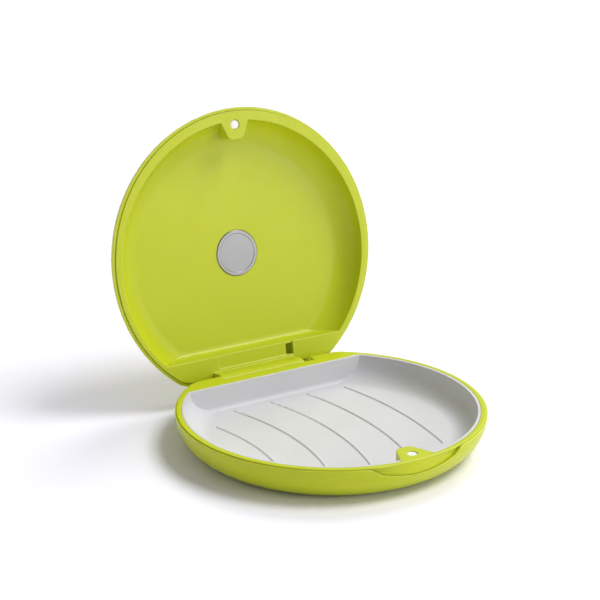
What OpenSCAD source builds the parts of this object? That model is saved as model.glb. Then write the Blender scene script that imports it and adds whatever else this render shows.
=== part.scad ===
// Round hard case for a dental appliance, with a flat hinge side, drawn with its lid standing open.
// Millimetres, +Z up. The origin is the centre of the round outline, on the face that the base stands on.
// The front, with the thumb wall and the magnet tabs, is -Y. The hinge is at +Y.
// Every piece of the lid is drawn shut, in line with the base, and is then turned back about the hinge pin.

/* [Outline] */
// Radius of the round outline
case_r = 47.5; // [42:0.5:55]
// Distance from the centre of the outline to the flat back
case_back = 39.2; // [36:0.2:41]
// How much larger the two back corners are than the rounding of the edges
corner_extra = 2; // [1.6:0.1:3]
// Angle of the faint crease where a back corner meets the flat back
corner_crease = 6; // [5:0.5:7]

/* [Base] */
// Height of the base, from the face it stands on to its rim
base_h = 11.5; // [10.5:0.1:13]
// How much of the edge rounding the flat face below cuts off
foot_cut = 0.15; // [0.1:0.01:0.25]
// Wall of the outer bowl
base_shell_t = 1.3; // [1.1:0.1:1.5]
// Floor of the outer bowl, thick so that the case stands firmly with its lid open
base_floor_t = 2; // [1.6:0.1:2.2]
// Free space between the floor of the outer bowl and the tray
under_gap = 0.3; // [0.2:0.05:0.6]
// Radius of the ring that carries the tray
seat_ring_r = 26; // [16:1:30]
// Width of that ring
seat_ring_w = 1.2; // [0.8:0.1:2]

/* [Rim] */
// Height of the shadow step between a rim and its outer shell
step_h = 0.4; // [0.2:0.1:0.8]
// Width of the base's shadow step
step_w = 0.55; // [0.3:0.05:0.8]
// Width of the base rim, from the shadow step to the tray
rim_w = 1.45; // [1.2:0.05:2]
// Width of the deck between the tray and the flat back
deck_w = 6.9; // [6.3:0.1:7.5]
// Lip of the outer bowl that laps the rim frame
lap_t = 1; // [0.8:0.05:1.1]
// Height of that lap
lap_h = 2.5; // [1.5:0.1:3]
// Height of the lid panel's spigot inside the dome's mouth
spigot_h = 0.3; // [0.2:0.05:0.4]
// Clearance between pieces that are fixed together
fit_gap = 0.1; // [0.05:0.01:0.2]
// Space between the two rims when the case is shut
shut_gap = 0.3; // [0.2:0.05:0.5]

/* [Thumb wall] */
// Width of the dip in the outer bowl's edge
dip_w = 32.6; // [28:0.2:36]
// Depth of the dip below the rim
dip_h = 4.3; // [3.8:0.1:4.8]
// Radius of the dip's shallow floor
dip_r = 43; // [38:1:60]
// Slope of the two ends of the dip
dip_slope = 32; // [28:1:36]
// Rounding where a sloping end meets the bowl's edge
dip_round = 4; // [3:0.25:5]
// Angle of the faint creases at both ends of that rounding
dip_crease = 8; // [6:0.5:10]
// How far the middle of the thumb wall lies inside the outline
thumb_set = 1.1; // [0.9:0.05:1.3]
// Radius of the thumb wall, flatter than the outline
thumb_r = 67; // [58:1:80]

/* [Tray] */
// Wall of the tray
liner_t = 0.8; // [0.6:0.05:1]
// Floor of the tray
liner_floor_t = 1.2; // [1:0.1:1.5]
// Rounding between the tray's round wall and its floor
tray_cove = 7.5; // [6:0.25:8]
// Rounding between the tray's back wall and its floor
tray_back_cove = 1.5; // [0.8:0.1:3]
// Distance between the ribs on the floor
rib_pitch = 13; // [9:0.5:18]
// Radius of the curve of the middle rib
rib_bend_r = 95; // [85:1:140]
// Width of a rib where it leaves the floor
rib_w = 1.2; // [0.8:0.1:2]
// Height of a rib
rib_h = 0.4; // [0.2:0.05:0.6]
// Plain border between the ends of the ribs and the rounding of the floor
rib_border = 2; // [1:0.5:5]

/* [Tabs and magnets] */
// Width of a tab where it leaves the rim
tab_root_w = 12; // [10:0.5:14]
// Width of the flat end of a tab
tab_tip_w = 2; // [0.4:0.2:3]
// Radius of the corners at a tab's end
tab_tip_r = 2.2; // [1.8:0.1:2.6]
// How far a tab reaches in from the rim
tab_reach = 8.1; // [6.5:0.1:9]
// Thickness of the base's tab
tab_t = 2.8; // [2.6:0.1:3.6]
// Thickness of the lid's tab, which runs into the dish
lid_tab_t = 5.5; // [4:0.1:6]
// Diameter of a magnet
magnet_d = 3; // [2:0.5:4]
// Thickness of a magnet
magnet_h = 1.8; // [1:0.1:2]
// How far a magnet lies below the face of its tab
magnet_sink = 0.15; // [0.05:0.05:0.3]
// Distance from the inner edge of the rim to a magnet's centre
magnet_in = 3.4; // [3:0.1:4]

/* [Lid] */
// Angle through which the lid opens
lid_open = 99.5; // [92:0.5:110]
// Inward lean of the lid's side where it leaves the rim
lid_lean = 10; // [4:1:14]
// Width of the lid's rim at its sides, from the outline to the dish
lid_rim_w = 3.1; // [3:0.1:4]
// How much nearer the hinge the dish's centre lies than the outline's
dish_shift = 1; // [0:0.1:1.2]
// Depth of the dish in the lid
dish_depth = 6.9; // [6:0.1:8]
// Radius of the rounding between the dish's wall and its floor
dish_cove = 8; // [7:0.25:9]
// Rounding between the dish's back wall and its floor
dish_back_cove = 1.8; // [1:0.1:3]
// Width of the lid's back deck, from the flat back to the dish
lid_deck_w = 8; // [7.6:0.1:8.6]
// Wall of the outer dome
lid_shell_t = 1; // [0.8:0.1:1.2]
// Wall of the inner panel
panel_t = 0.9; // [0.8:0.1:1.2]
// Free space between the floor of the inner panel and the outer dome
lid_gap = 1.1; // [0.8:0.1:1.4]
// Least space between the sides of the inner panel and the outer dome
panel_side_gap = 0.5; // [0.3:0.05:0.7]
// Diameter of the inlay
badge_d = 15; // [10:1:24]
// Thickness of the inlay
badge_t = 0.7; // [0.6:0.1:1]
// How far the inlay is let into the dish's floor
badge_in = 0.4; // [0.2:0.1:0.5]
// Width of the inlay's raised border
badge_border = 1.2; // [0.8:0.1:2]
// Depth of the inlay's face inside that border
badge_dish = 0.15; // [0.1:0.05:0.2]

/* [Hinge] */
// Distance of the pin behind the flat back
hinge_back = 0.6; // [0.4:0.1:1]
// Distance of the pin below the base rim
hinge_drop = 3.6; // [3.5:0.1:4]
// Radius of the pin
pin_r = 0.9; // [0.7:0.05:1.2]
// Clearance of the turning barrel round the pin
pin_gap = 0.05; // [0.02:0.01:0.09]
// Clearance of the fixed pin in the ears of the cradle
pin_seat_gap = 0.02; // [0.01:0.01:0.03]
// Radius of the lid's hinge barrel
barrel_r = 3.5; // [3:0.1:3.5]
// Length of the barrel
barrel_w = 30.4; // [24:0.2:34]
// Clearance between the barrel and the cradle that it turns in
barrel_gap = 0.4; // [0.3:0.05:0.6]
// Gap beside the left end of the barrel, seen from the front
left_gap = 0.4; // [0.3:0.1:3]
// Gap beside its right end
right_gap = 2.8; // [0.6:0.1:3]
// Radius of the hub on each end of the barrel
hub_r = 1.8; // [1.6:0.1:2.6]
// End clearance of the hubs
hub_gap = 0.2; // [0.1:0.05:0.4]
// Width of each ear of the cradle
ear_w = 3.5; // [2.5:0.1:5]
// Radius of the ears round the pin
ear_r = 2.5; // [2:0.1:3]
// Wall of the cradle
cradle_t = 1.1; // [0.9:0.1:1.3]
// Thickness of the heel that stops the lid
heel_t = 1.5; // [1:0.1:2.5]
// Gap between the heel and the end of the cradle with the lid open
heel_gap = 0.1; // [0.05:0.05:0.2]
// Distance from each end of the barrel to the heel
heel_in = 2; // [1:0.5:5]
// Width of the shallow relief in the lid's deck above the barrel
relief_w = 28; // [18:1:28]
// Depth of that relief
relief_h = 0.5; // [0.3:0.05:0.6]
// Width of the deep notch at the right end of the relief
notch_w = 2.6; // [2:0.1:4]
// Depth of that notch
notch_h = 2.8; // [1.5:0.1:3]
// Wall round the notch
notch_t = 0.8; // [0.6:0.1:1]
// Distance from the dish to the notch
notch_in = 0.6; // [0.4:0.1:1]

/* [Hidden] */
$fn = 96;

lime = "#bccb36";
tray_grey = "#d4d4d6";
steel = "#b9bcc0";
satin_silver = "#c9c8c2";
magnet_white = "#eeece4";

// How far a cut runs past the face that it opens
past = 1;

// Lip of the bowl, and the rounding from there to the face that the bowl stands on
base_lip = base_h - step_h;
base_edge_r = base_lip + foot_cut;

// The lid's rim, and the rounding from its lip, leaning in, to its flat top
lid_z = base_h + shut_gap;
lid_lip_z = lid_z + step_h;
lid_top = lid_z + dish_depth + panel_t + lid_gap + lid_shell_t;
lid_lip = lid_top - lid_lip_z;
lid_edge_r = (lid_lip + foot_cut) / (1 - sin(lid_lean));
lid_run = lid_edge_r * cos(lid_lean);

// Back corners of the outline: the sharp corner, the direction it points in, and the centre of its rounding
corner_r = max(base_edge_r, lid_run) + corner_extra;
sharp_x = sqrt(pow(case_r, 2) - pow(case_back, 2));
sharp_a = atan2(case_back, sharp_x);
corner_a = (90 + sharp_a) / 2;
corner_turn = (90 - sharp_a) / 2;
corner_cut = corner_r * (cos(corner_crease) / cos(corner_turn) - 1);
corner_x = sharp_x - (corner_r + corner_cut) * cos(corner_a);
corner_y = case_back - (corner_r + corner_cut) * sin(corner_a);

// Rim frame and tray, one inside the other
skirt_in = lap_t + fit_gap;
skirt_z = base_lip - lap_h;
frame_r = case_r - step_w - rim_w;
frame_back = case_back - deck_w;
liner_r = frame_r - fit_gap;
liner_back = frame_back - fit_gap;
tray_r = liner_r - liner_t;
tray_back = liner_back - liner_t;
liner_z = base_floor_t + under_gap;
tray_z = liner_z + liner_floor_t;

// Dip in the bowl's edge, seen from the front with y = 0 at the edge: the centre of the rounding at its right
// end, where the slope there would reach the edge, and the height at which the rounding takes over
dip_sag = dip_h - step_h;
dip_round_x = dip_w / 2 + dip_round * sin(dip_crease);
dip_round_y = -dip_round * cos(dip_crease);
dip_slope_x = dip_round_x + dip_round_y * tan(dip_slope / 2);
dip_slope_y = dip_round_y * (1 - cos(dip_slope));
dip_start = case_r - base_edge_r;

// Lid panel: the dish's wall is a part of its cove where the dish is shallower than the cove
panel_in = lid_shell_t + panel_side_gap;
panel_rim_t = panel_t + step_h / 2;
spigot_in = lid_shell_t + fit_gap;
dish_edge_r = case_r - lid_rim_w;
dish_r = dish_edge_r + dish_cove - sqrt(pow(dish_cove, 2) - pow(max(dish_cove - dish_depth, 0), 2));
dish_back = case_back - lid_deck_w;
dish_flat = dish_back - dish_shift;

// Hinge
hinge_y = case_back + hinge_back;
hinge_z = base_h - hinge_drop;
cradle_r = barrel_r + barrel_gap;
cradle_out = cradle_r + cradle_t;
ear_in = (barrel_w + left_gap + right_gap) / 2;
barrel_x = (left_gap - right_gap) / 2;
ear_out = ear_in + ear_w;
heel_w = barrel_w - 2 * heel_in;
relief_back = hinge_y - barrel_r - notch_t;

magnet_y = magnet_in - frame_r;
rib_r = rib_w * rib_w / (8 * rib_h) + rib_h / 2;

// Everything outside the rounding of one back corner, seen from above
module beyond_corner(side) {
  mirror([side, 0])
    translate([corner_x, corner_y])
      rotate(corner_a)
        polygon([[0, 0], 2 * corner_r * [cos(corner_turn), -sin(corner_turn)],
                 2 * corner_r * [cos(corner_turn), sin(corner_turn)]]);
}

// Outline of the case seen from above, drawn in by inset
module plan(inset) {
  difference() {
    intersection() {
      circle(r = case_r - inset);
      translate([-case_r, case_back - inset - 2 * case_r])
        square(2 * case_r);
    }
    for (side = [0, 1])
      difference() {
        beyond_corner(side);
        mirror([side, 0])
          translate([corner_x, corner_y])
            circle(r = corner_r - inset);
      }
  }
}

// Section of a bowl's edge, solid from x = start to the outline at x = out, with y as the height.
// The rounding, of radius r, has its centre at (out - run, r - foot_cut). It is kept between low and high.
module edge_section(start, out, r, run, inset, low, high) {
  arc_x = out - run;
  arc_z = r - foot_cut;
  arc_r = r - inset;
  intersection() {
    translate([start, low])
      square([out - start, high - low]);
    union() {
      polygon([[start, arc_z - arc_r], [arc_x, arc_z - arc_r], [arc_x, arc_z],
               [arc_x + arc_r, arc_z], [arc_x + arc_r, arc_z + high], [start, arc_z + high]]);
      translate([arc_x, arc_z])
        quarter(arc_r, 1, -1);
    }
  }
}

// Solid of the case's outline with a rounded edge below, drawn in by inset and kept between low and high
module bowl(r, run, inset, low, high) {
  difference() {
    intersection() {
      rotate_extrude()
        edge_section(0, case_r, r, run, inset, low, high);
      along_x(2 * case_r)
        edge_section(-case_r, case_back, r, run, inset, low, high);
    }
    for (side = [0, 1])
      difference() {
        translate([0, 0, low])
          linear_extrude(high - low + past)
            beyond_corner(side);
        mirror([side, 0, 0])
          translate([corner_x, corner_y, 0])
            rotate_extrude()
              edge_section(0, corner_r, r, run, inset, low - past, high + 2 * past);
      }
  }
}

// Hollow shell of the same form, with a flat floor
module bowl_shell(r, run, wall, floor_t, high) {
  difference() {
    bowl(r, run, 0, 0, high);
    bowl(r, run, wall, floor_t, high + past);
  }
}

// A section drawn with x as the case's Y and y as its Z, extruded along X and centred on the case
module along_x(width) {
  translate([-width / 2, 0, 0])
    rotate([90, 0, 90])
      linear_extrude(width)
        children();
}

// A section round the hinge pin, extruded along X and centred on the case
module along_pin(width) {
  translate([0, hinge_y, hinge_z])
    along_x(width)
      children();
}

// Quarter of a disc in the given quadrant, its corner at the origin
module quarter(r, sx, sy) {
  intersection() {
    circle(r = r);
    translate([min(sx, 0) * r, min(sy, 0) * r])
      square(r);
  }
}

// Solid of a round dish: upright wall, coved floor at z = 0, and one flat side at y = back
module dish_solid(r, back, cove, h) {
  intersection() {
    rotate_extrude()
      intersection() {
        square([r, h]);
        union() {
          polygon([[0, 0], [r - cove, 0], [r - cove, cove], [r, cove], [r, cove + h], [0, cove + h]]);
          translate([r - cove, cove])
            quarter(cove, 1, -1);
        }
      }
    translate([-r, back - 2 * r, -past])
      cube([2 * r, 2 * r, h + 2 * past]);
  }
}

// Hollow of a dish, with a rounding along the foot of its flat side
module dish_hollow(r, back, cove, back_cove, h) {
  difference() {
    dish_solid(r, back, cove, h);
    along_x(2 * r)
      translate([back - back_cove, 0])
        difference() {
          square(back_cove);
          translate([0, back_cove])
            circle(r = back_cove);
        }
  }
}

// Tab that reaches in from the rim and holds a magnet, seen from above and drawn larger by grow
module tab_plan(grow) {
  root_y = -frame_r - fit_gap;
  tip_y = tab_reach - frame_r;
  hull() {
    translate([-tab_root_w / 2 - grow, root_y])
      square([tab_root_w + 2 * grow, fit_gap]);
    for (side = [-1, 1])
      translate([side * tab_tip_w / 2, tip_y - tab_tip_r])
        circle(r = tab_tip_r + grow, $fn = 32);
  }
}

// Bore for a magnet, open at z = 0 and going up
module magnet_bore() {
  translate([0, magnet_y, -past])
    cylinder(d = magnet_d + 2 * fit_gap, h = past + magnet_sink + magnet_h);
}

// Disc magnet with broken edges, its foot at z = 0
module magnet() {
  edge = magnet_h / 10;
  translate([0, magnet_y, 0])
    rotate_extrude()
      polygon([[0, 0], [magnet_d / 2 - edge, 0], [magnet_d / 2, edge], [magnet_d / 2, magnet_h - edge],
               [magnet_d / 2 - edge, magnet_h], [0, magnet_h]]);
}

// Turns a piece of the lid from shut to open about the pin
module opened() {
  translate([0, hinge_y, hinge_z])
    rotate([-lid_open, 0, 0])
      translate([0, -hinge_y, -hinge_z])
        children();
}

// Moves a section of the dip to the bowl's edge, raised by gap, and stands it up facing the front
module at_dip(gap) {
  translate([0, -dip_start, base_lip + gap])
    rotate([90, 0, 0])
      children();
}

// Space above the floor of the dip, between its two slopes
module dip_floor(gap) {
  spread_x = dip_slope_x + base_h / tan(dip_slope);
  at_dip(gap)
    intersection() {
      translate([0, dip_r - dip_sag, 0])
        cylinder(r = dip_r, h = case_r, $fn = 192);
      translate([0, 0, -past])
        linear_extrude(case_r + 2 * past)
          polygon([[0, -dip_slope_x * tan(dip_slope)], [spread_x, base_h], [-spread_x, base_h]]);
    }
}

// Space above the rounding at one end of the dip
module dip_end(side) {
  mirror([side, 0, 0])
    at_dip(0)
      difference() {
        translate([0, dip_slope_y, 0])
          cube([dip_round_x, base_h, case_r]);
        translate([dip_round_x, dip_round_y, -past])
          cylinder(r = dip_round, h = case_r + 2 * past);
      }
}

// Outer bowl of the base
module base_shell() {
  opening_w = 2 * (ear_out + fit_gap);
  opening_z = hinge_z - cradle_out - fit_gap;
  color(lime)
    difference() {
      union() {
        bowl_shell(base_edge_r, base_edge_r, base_shell_t, base_floor_t, base_lip);
        // Ring that the tray stands on
        translate([0, 0, base_floor_t / 2])
          difference() {
            cylinder(r = seat_ring_r, h = liner_z - base_floor_t / 2);
            translate([0, 0, -past])
              cylinder(r = seat_ring_r - seat_ring_w, h = liner_z + 2 * past);
          }
      }
      // Lap for the rim frame
      translate([0, 0, skirt_z])
        linear_extrude(lap_h + past)
          plan(lap_t);
      dip_floor(0);
      for (side = [0, 1])
        dip_end(side);
      translate([-opening_w / 2, case_back - base_edge_r, opening_z])
        cube([opening_w, 2 * base_edge_r, base_h]);
    }
}

// Cradle for the lid's barrel: a wall in front of and below it, and an ear at each end
module hinge_cradle() {
  along_pin(2 * ear_out) {
    difference() {
      quarter(cradle_out, -1, -1);
      circle(r = cradle_r);
    }
    translate([-cradle_out, 0])
      square([cradle_t, hinge_drop]);
  }
  for (side = [-1, 1])
    translate([side * (ear_in + ear_w / 2), 0, 0])
      along_pin(ear_w) {
        circle(r = ear_r);
        translate([-cradle_out, -ear_r])
          square([cradle_out, 2 * ear_r]);
      }
}

// Wall behind the thumb, from the rim down to the dip in the outer bowl
module thumb_wall() {
  intersection() {
    translate([0, 0, base_h - dip_h])
      linear_extrude(dip_h)
        difference() {
          plan(skirt_in);
          circle(r = frame_r);
        }
    dip_floor(fit_gap);
  }
}

// Everything in front of the flatter face of the thumb wall
module thumb_cut() {
  difference() {
    translate([-dip_w / 2, -case_r - past, base_h - dip_h - past])
      cube([dip_w, base_edge_r, dip_h + 2 * past]);
    translate([0, thumb_r + thumb_set - case_r, base_h - dip_h - 2 * past])
      cylinder(r = thumb_r, h = dip_h + 4 * past, $fn = 192);
  }
}

// Rim frame of the base
module base_frame() {
  color(lime)
    difference() {
      union() {
        difference() {
          translate([0, 0, skirt_z])
            linear_extrude(base_h - skirt_z)
              plan(skirt_in);
          translate([0, 0, skirt_z - past])
            linear_extrude(base_h - skirt_z + 2 * past)
              intersection() {
                circle(r = frame_r);
                translate([-frame_r, frame_back - 2 * frame_r])
                  square(2 * frame_r);
              }
        }
        translate([0, 0, base_lip])
          linear_extrude(step_h)
            difference() {
              plan(step_w);
              plan(step_w + rim_w);
            }
        thumb_wall();
        translate([0, 0, base_h - tab_t])
          linear_extrude(tab_t)
            tab_plan(0);
        hinge_cradle();
      }
      thumb_cut();
      // Room for the barrel, open at the top and at the back
      along_pin(2 * ear_in) {
        circle(r = cradle_r);
        translate([-cradle_r, 0])
          square([2 * cradle_r, hinge_drop + past]);
      }
      along_pin(2 * (ear_out + past))
        circle(r = pin_r + pin_seat_gap);
      translate([0, 0, base_h])
        mirror([0, 0, 1])
          magnet_bore();
    }
}

// Fine raised ribs on the tray's floor: parallel arcs, cut off at a plain border
module tray_ribs() {
  field_r = tray_r - tray_cove - rib_border;
  field_back = tray_back - tray_back_cove - rib_border;
  rib_count = floor(field_r / rib_pitch);
  intersection() {
    for (i = [-rib_count : rib_count])
      translate([-rib_bend_r, 0, tray_z + rib_h - rib_r])
        rotate([0, 0, -90])
          rotate_extrude(angle = 180, $fn = 192)
            translate([rib_bend_r + i * rib_pitch, 0])
              circle(r = rib_r, $fn = 48);
    translate([0, 0, liner_z + liner_floor_t / 2])
      linear_extrude(liner_floor_t / 2 + rib_h)
        intersection() {
          circle(r = field_r);
          translate([-field_r, field_back - 2 * field_r])
            square(2 * field_r);
        }
  }
}

// Tray inside the base
module base_liner() {
  tray_depth = base_h - tray_z;
  color(tray_grey) {
    difference() {
      translate([0, 0, liner_z])
        dish_solid(liner_r, liner_back, tray_cove + liner_t, tray_depth + liner_floor_t);
      translate([0, 0, tray_z])
        dish_hollow(tray_r, tray_back, tray_cove, tray_back_cove, tray_depth + past);
      // The tab of the rim frame passes through the tray's wall
      translate([0, 0, base_h - tab_t - fit_gap])
        linear_extrude(tab_t + fit_gap + past)
          tab_plan(fit_gap);
    }
    tray_ribs();
  }
}

// Magnet in the tab of the base
module base_magnet() {
  color(magnet_white)
    translate([0, 0, base_h - magnet_sink - magnet_h])
      magnet();
}

// Outer dome of the lid
module lid_shell() {
  color(lime)
    opened()
      translate([0, 0, lid_top])
        mirror([0, 0, 1])
          bowl_shell(lid_edge_r, lid_run, lid_shell_t, lid_shell_t, lid_lip);
}

// Barrel that turns on the pin, the web that joins it to the lid's deck, its hubs and its stop heel
module hinge_barrel() {
  web_u = spigot_in + hinge_back;
  translate([barrel_x, 0, 0])
    along_pin(barrel_w) {
      circle(r = barrel_r);
      translate([-barrel_r, 0])
        square([barrel_r - web_u, lid_lip_z - hinge_z]);
    }
  along_pin(2 * (ear_in - hub_gap))
    circle(r = hub_r);
  // The heel is drawn where it stops the open lid, against the end of the cradle, and is turned back to shut
  translate([barrel_x, hinge_y, hinge_z])
    rotate([lid_open, 0, 0])
      translate([-heel_w / 2, heel_gap, -cradle_out])
        cube([heel_w, heel_t, cradle_out - hub_r]);
}

// Room for the inner panel inside the outer dome
module inside_dome() {
  translate([0, 0, lid_top])
    mirror([0, 0, 1])
      bowl(lid_edge_r, lid_run, panel_in, 0, lid_top - lid_z + past);
}

// Deck and rim of the lid, the outside of its dish, and the block round the notch
module panel_body() {
  notch_block_w = notch_w + 2 * notch_t;
  translate([0, 0, lid_z])
    linear_extrude(panel_rim_t)
      plan(panel_in);
  // The rim stands proud of the dome's edge, and a low spigot of it enters the dome's mouth
  translate([0, 0, lid_z])
    linear_extrude(step_h + spigot_h)
      plan(spigot_in);
  // The dish's outside keeps clear of the dome, which curves in over its flat back
  intersection() {
    translate([0, dish_shift, lid_z + dish_depth + panel_t])
      mirror([0, 0, 1])
        dish_solid(dish_r + panel_t, dish_flat + panel_t, dish_cove + panel_t, dish_depth + panel_t);
    inside_dome();
  }
  translate([relief_w / 2 + notch_t - notch_block_w, dish_back, lid_z])
    cube([notch_block_w, relief_back + notch_t - dish_back, notch_h + notch_t]);
}

// Inner panel of the lid
module lid_panel() {
  color(lime)
    opened()
      difference() {
        union() {
          difference() {
            panel_body();
            translate([0, dish_shift, lid_z + dish_depth])
              mirror([0, 0, 1])
                dish_hollow(dish_r, dish_flat, dish_cove, dish_back_cove, dish_depth + past);
            // Shallow relief in the deck above the barrel, open to the dish, and a deep notch at its right end
            translate([-relief_w / 2, dish_back - past, lid_z - past])
              cube([relief_w, relief_back - dish_back + past, relief_h + past]);
            translate([relief_w / 2 - notch_w, dish_back + notch_in, lid_z - past])
              cube([notch_w, relief_back - dish_back - notch_in, notch_h + past]);
          }
          intersection() {
            translate([0, 0, lid_z])
              linear_extrude(lid_tab_t)
                tab_plan(0);
            inside_dome();
          }
          hinge_barrel();
        }
        along_pin(2 * ear_out)
          circle(r = pin_r + pin_gap);
        translate([0, 0, lid_z])
          magnet_bore();
        translate([0, 0, lid_z])
          cylinder(d = badge_d + 2 * fit_gap, h = dish_depth + badge_in);
      }
}

// Magnet in the tab of the lid
module lid_magnet() {
  color(magnet_white)
    opened()
      translate([0, 0, lid_z + magnet_sink])
        magnet();
}

// Plain round inlay in the dish's floor, with a raised border
module lid_badge() {
  face_z = lid_z + dish_depth + badge_in - badge_t;
  edge = badge_t / 4;
  r = badge_d / 2;
  color(satin_silver)
    opened()
      translate([0, 0, face_z])
        rotate_extrude()
          polygon([[0, badge_dish], [r - badge_border, badge_dish], [r - badge_border + badge_dish, 0],
                   [r - edge, 0], [r, edge], [r, badge_t], [0, badge_t]]);
}

// Pin that the lid turns on, held in the ears of the cradle
module hinge_pin() {
  edge = pin_r / 4;
  color(steel)
    translate([-ear_out, hinge_y, hinge_z])
      rotate([0, 90, 0])
        rotate_extrude()
          polygon([[0, 0], [pin_r - edge, 0], [pin_r, edge], [pin_r, 2 * ear_out - edge],
                   [pin_r - edge, 2 * ear_out], [0, 2 * ear_out]]);
}

base_shell();
base_frame();
base_liner();
base_magnet();
lid_shell();
lid_panel();
lid_magnet();
lid_badge();
hinge_pin();
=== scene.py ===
"""Looks of the retainer case: finishes, floor, studio light and the camera of the photograph."""
import math

import bpy
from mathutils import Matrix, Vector

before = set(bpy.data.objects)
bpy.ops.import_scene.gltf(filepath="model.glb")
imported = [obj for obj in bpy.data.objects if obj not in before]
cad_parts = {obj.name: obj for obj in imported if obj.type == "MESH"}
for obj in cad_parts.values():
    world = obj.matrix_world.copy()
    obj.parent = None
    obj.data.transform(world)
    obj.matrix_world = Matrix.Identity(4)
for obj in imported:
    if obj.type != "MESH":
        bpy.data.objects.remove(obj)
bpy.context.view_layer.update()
bpy.ops.object.select_all(action="DESELECT")

MM = 0.001

# Camera, fitted to the outlines in the photograph: its place, the point it looks at, and its lens
CAMERA_PLACE = Vector((-238.30, -365.31, 190.99)) * MM
CAMERA_TARGET = Vector((7.57, 30.03, 35.39)) * MM
CAMERA_LENS = 92.61
CAMERA_SENSOR = 36.0
CAMERA_NEAR_LIMIT = 10 * MM

# Cool white room
ROOM_STRENGTH = 0.38
ROOM_COLOUR = (0.99, 0.975, 1.04)
# Two wide soft lights at the right, each by its strength, its angle from +X and its height in degrees
KEY_LIGHT = (1.9, -32.0, 57.0)
REAR_LIGHT = (1.2, 30.0, 46.0)
# How wide those two look from the case, in degrees
LIGHT_SOFTNESS = 27.0
# Soft box at the front right, which gives the lid its sheen
SHEEN_PLACE = Vector((0.41, -0.60, 0.22))
SHEEN_TARGET = Vector((0.02, 0.05, 0.05))
SHEEN_WIDTH = 0.30
SHEEN_POWER = 1.25

# Colours of the finishes, as linear values
LIME = (0.503, 0.566, 0.008)
LIME_PALE = (0.519, 0.582, 0.011)
# Painted highlight on the soft edges of the lime plastic, standing in for the light that they catch
LIME_PAINTED_HIGHLIGHT = (0.700, 0.760, 0.110)
TRAY_GREY = (0.600, 0.596, 0.604)
TRAY_GREY_PALE = (0.625, 0.621, 0.629)
# Painted highlight on the soft edges of the tray plastic, standing in for the light that they catch
TRAY_PAINTED_HIGHLIGHT = (0.720, 0.718, 0.722)
MAGNET_COAT = (0.880, 0.870, 0.830)
SILVER = (0.275, 0.273, 0.268)
STEEL = (0.500, 0.505, 0.515)
PAPER_WHITE = (0.905, 0.893, 0.945)

# Moulded plastic: its gloss, the rounding of its edges as it catches the light, and its mould grain
PLASTIC_SPECULAR = 0.34
PLASTIC_GLOSS_SPREAD = 0.05
LIME_ROUGHNESS = 0.35
TRAY_ROUGHNESS = 0.45
LIME_EDGE = 0.40 * MM
TRAY_EDGE = 0.20 * MM
EDGE_SAMPLES = 8
LIME_GRAIN_WIDTH = 0.30 * MM
LIME_GRAIN_HEIGHT = 0.012 * MM
TRAY_GRAIN_WIDTH = 0.24 * MM
TRAY_GRAIN_HEIGHT = 0.010 * MM
GRAIN_DETAIL = 2.0
# Width and detail of the clouds in its colour and of its uneven polish
CLOUDS = (14 * MM, 3.0)
POLISH = (6 * MM, 4.0)
# Cosine of the turn from the flat face to the soft edge where the painted edge highlight starts, and where
# it is full
HIGHLIGHT_START = 0.99
HIGHLIGHT_FULL = 0.85

# Coated magnets: width and detail of the scuffs, their shade, and the roughness from smooth to scuffed
SCUFFS = (0.8 * MM, 5.0)
SCUFF_SHADE = 0.9
MAGNET_ROUGHNESS = (0.28, 0.42)

# Satin metals: roughness and width of the blasted surface, and how much it varies
SILVER_ROUGHNESS = 0.38
SILVER_BLAST_WIDTH = 0.25 * MM
STEEL_ROUGHNESS = 0.30
STEEL_BLAST_WIDTH = 0.20 * MM
BLAST_DETAIL = 4.0
BLAST_SHADE = 1.12
METAL_GLOSS_SPREAD = 0.06

# Floor: its size in metres, and the fibre and dullness of its paper
FLOOR_SIZE = 6.0
FIBRE = (2 * MM, 4.0)
FIBRE_SHADE = 0.99
FLOOR_ROUGHNESS = 0.9
FLOOR_SPECULAR = 0.1

# The part of a noise's range that holds nearly all its values
NOISE_LOW = 0.3
NOISE_HIGH = 0.7


def new_material(name):
    """A new node material, its node tree and its shader."""
    material = bpy.data.materials.new(name)
    material.use_nodes = True
    tree = material.node_tree
    return material, tree, tree.nodes["Principled BSDF"]


def set_inputs(node, values):
    """Sets inputs of a node, by their names."""
    for name, value in values.items():
        node.inputs[name].default_value = value


def object_noise(tree, width, detail):
    """Noise on Object coordinates whose features are about width metres across."""
    coordinates = tree.nodes.new("ShaderNodeTexCoord")
    noise = tree.nodes.new("ShaderNodeTexNoise")
    set_inputs(noise, {"Scale": 1.0 / width, "Detail": detail})
    tree.links.new(coordinates.outputs["Object"], noise.inputs["Vector"])
    return noise.outputs["Fac"]


def map_range(tree, source, from_min, from_max, to_min=0.0, to_max=1.0):
    """The source's span from from_min to from_max, spread over to_min to to_max."""
    spread = tree.nodes.new("ShaderNodeMapRange")
    set_inputs(spread, {"From Min": from_min, "From Max": from_max, "To Min": to_min, "To Max": to_max})
    tree.links.new(source, spread.inputs["Value"])
    return spread.outputs["Result"]


def spread_noise(tree, noise, low=0.0, high=1.0):
    """A noise spread over low to high."""
    return map_range(tree, noise, NOISE_LOW, NOISE_HIGH, low, high)


def mix_colours(tree, factor, first, second):
    """Mix of two colours; each is a constant or the output of a node."""
    mix = tree.nodes.new("ShaderNodeMix")
    mix.data_type = "RGBA"
    for socket, colour in (("A", first), ("B", second)):
        if isinstance(colour, tuple):
            mix.inputs[socket].default_value = (*colour, 1.0)
        else:
            tree.links.new(colour, mix.inputs[socket])
    tree.links.new(factor, mix.inputs["Factor"])
    return mix.outputs["Result"]


def shaded(colour, shade):
    """A colour times a shade."""
    return tuple(shade * part for part in colour)


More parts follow.
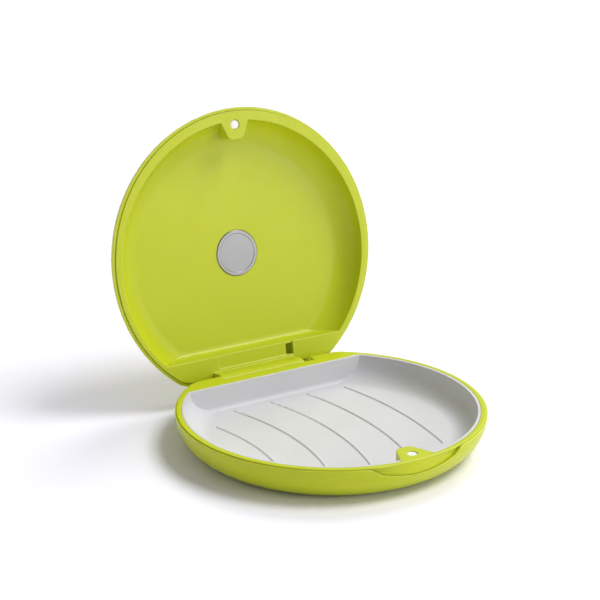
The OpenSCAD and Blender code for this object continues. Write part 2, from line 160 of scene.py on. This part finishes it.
def moulded_plastic(name, colours, roughness, edge, grain_width, grain_height):
    """Satin moulded plastic: faint clouds in the colour, uneven gloss, soft edges with a painted highlight,
    and a fine mould grain. The colours are the darker cloud, the paler cloud and the painted edge highlight."""
    material, tree, shader = new_material(name)
    dark, pale, painted_highlight = colours
    shader.inputs["Specular IOR Level"].default_value = PLASTIC_SPECULAR

    clouds = spread_noise(tree, object_noise(tree, *CLOUDS))
    tint = mix_colours(tree, clouds, dark, pale)

    soft_edge = tree.nodes.new("ShaderNodeBevel")
    soft_edge.samples = EDGE_SAMPLES
    soft_edge.inputs["Radius"].default_value = edge
    surface = tree.nodes.new("ShaderNodeNewGeometry")
    turned = tree.nodes.new("ShaderNodeVectorMath")
    turned.operation = "DOT_PRODUCT"
    tree.links.new(soft_edge.outputs["Normal"], turned.inputs[0])
    tree.links.new(surface.outputs["Normal"], turned.inputs[1])
    # Painted highlight: where the soft-edge normal turns away from the face, convex and concave edges alike
    # are painted paler
    highlight_mask = map_range(tree, turned.outputs["Value"], HIGHLIGHT_START, HIGHLIGHT_FULL)
    tree.links.new(mix_colours(tree, highlight_mask, tint, painted_highlight), shader.inputs["Base Color"])

    low_gloss = roughness - PLASTIC_GLOSS_SPREAD
    high_gloss = roughness + PLASTIC_GLOSS_SPREAD
    gloss = spread_noise(tree, object_noise(tree, *POLISH), low_gloss, high_gloss)
    tree.links.new(gloss, shader.inputs["Roughness"])

    grain = object_noise(tree, grain_width, GRAIN_DETAIL)
    bump = tree.nodes.new("ShaderNodeBump")
    set_inputs(bump, {"Strength": 1.0, "Distance": grain_height})
    tree.links.new(grain, bump.inputs["Height"])
    tree.links.new(soft_edge.outputs["Normal"], bump.inputs["Normal"])
    tree.links.new(bump.outputs["Normal"], shader.inputs["Normal"])
    return material


def coated_magnet():
    """Pale coated disc magnet with faint scuffs."""
    material, tree, shader = new_material("magnet_coat")
    scuffs = object_noise(tree, *SCUFFS)
    tint = mix_colours(tree, spread_noise(tree, scuffs), MAGNET_COAT, shaded(MAGNET_COAT, SCUFF_SHADE))
    tree.links.new(tint, shader.inputs["Base Color"])
    tree.links.new(spread_noise(tree, scuffs, *MAGNET_ROUGHNESS), shader.inputs["Roughness"])
    return material


def satin_metal(name, colour, roughness, blast_width):
    """Satin metal with a fine blasted surface."""
    material, tree, shader = new_material(name)
    shader.inputs["Metallic"].default_value = 1.0
    blast = object_noise(tree, blast_width, BLAST_DETAIL)
    tint = mix_colours(tree, spread_noise(tree, blast), colour, shaded(colour, BLAST_SHADE))
    tree.links.new(tint, shader.inputs["Base Color"])
    gloss = spread_noise(tree, blast, roughness - METAL_GLOSS_SPREAD, roughness + METAL_GLOSS_SPREAD)
    tree.links.new(gloss, shader.inputs["Roughness"])
    return material


def finish_nodes():
    """Gives every CAD node its finish."""
    lime = moulded_plastic(
        "lime_plastic",
        colours=(LIME, LIME_PALE, LIME_PAINTED_HIGHLIGHT),
        roughness=LIME_ROUGHNESS,
        edge=LIME_EDGE,
        grain_width=LIME_GRAIN_WIDTH,
        grain_height=LIME_GRAIN_HEIGHT,
    )
    tray = moulded_plastic(
        "tray_plastic",
        colours=(TRAY_GREY, TRAY_GREY_PALE, TRAY_PAINTED_HIGHLIGHT),
        roughness=TRAY_ROUGHNESS,
        edge=TRAY_EDGE,
        grain_width=TRAY_GRAIN_WIDTH,
        grain_height=TRAY_GRAIN_HEIGHT,
    )
    magnet = coated_magnet()
    finishes = {
        "base_shell": lime,
        "base_frame": lime,
        "lid_shell": lime,
        "lid_panel": lime,
        "base_liner": tray,
        "base_magnet": magnet,
        "lid_magnet": magnet,
        "lid_badge": satin_metal("satin_silver", SILVER, SILVER_ROUGHNESS, SILVER_BLAST_WIDTH),
        "hinge_pin": satin_metal("drawn_steel", STEEL, STEEL_ROUGHNESS, STEEL_BLAST_WIDTH),
    }
    for node, finish in finishes.items():
        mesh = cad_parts[node].data
        mesh.materials.clear()
        mesh.materials.append(finish)


def lay_floor():
    """Wide pale paper floor under the case."""
    bpy.ops.mesh.primitive_plane_add(size=FLOOR_SIZE, location=(0, 0, 0))
    floor = bpy.context.object
    floor.name = "floor"
    material, tree, shader = new_material("floor_paper")
    fibre = object_noise(tree, *FIBRE)
    tint = mix_colours(tree, fibre, PAPER_WHITE, shaded(PAPER_WHITE, FIBRE_SHADE))
    tree.links.new(tint, shader.inputs["Base Color"])
    set_inputs(shader, {"Roughness": FLOOR_ROUGHNESS, "Specular IOR Level": FLOOR_SPECULAR})
    floor.data.materials.append(material)


def place_facing(name, data, place, target):
    """Adds a light or camera at a place, turned to face a target."""
    thing = bpy.data.objects.new(name, data)
    thing.location = place
    thing.rotation_euler = (target - place).to_track_quat("-Z", "Y").to_euler()
    bpy.context.scene.collection.objects.link(thing)
    return thing


def wide_light(name, strength, azimuth, elevation):
    """Distant soft light that shines on the case from the given direction."""
    lamp = bpy.data.lights.new(name, "SUN")
    lamp.energy = strength
    lamp.angle = math.radians(LIGHT_SOFTNESS)
    turn = math.radians(azimuth)
    rise = math.radians(elevation)
    reach = math.cos(rise)
    towards = Vector((math.cos(turn) * reach, math.sin(turn) * reach, math.sin(rise)))
    place_facing(name, lamp, towards, Vector((0, 0, 0)))


def light_studio():
    """White room with soft lights to the right of the case, as in the photograph."""
    world = bpy.data.worlds.new("studio")
    bpy.context.scene.world = world
    world.use_nodes = True
    room = world.node_tree.nodes["Background"]
    set_inputs(room, {"Color": (*ROOM_COLOUR, 1.0), "Strength": ROOM_STRENGTH})

    wide_light("key", *KEY_LIGHT)
    wide_light("rear", *REAR_LIGHT)

    box = bpy.data.lights.new("sheen", "AREA")
    box.shape = "SQUARE"
    box.size = SHEEN_WIDTH
    box.energy = SHEEN_POWER
    place_facing("sheen", box, SHEEN_PLACE, SHEEN_TARGET)


def set_camera():
    """Camera at the photograph's place and angle."""
    lens = bpy.data.cameras.new("camera")
    lens.sensor_fit = "HORIZONTAL"
    lens.sensor_width = CAMERA_SENSOR
    lens.lens = CAMERA_LENS
    lens.clip_start = CAMERA_NEAR_LIMIT
    bpy.context.scene.camera = place_facing("camera", lens, CAMERA_PLACE, CAMERA_TARGET)


finish_nodes()
lay_floor()
light_studio()
set_camera()
bpy.context.scene.view_settings.view_transform = "Standard"
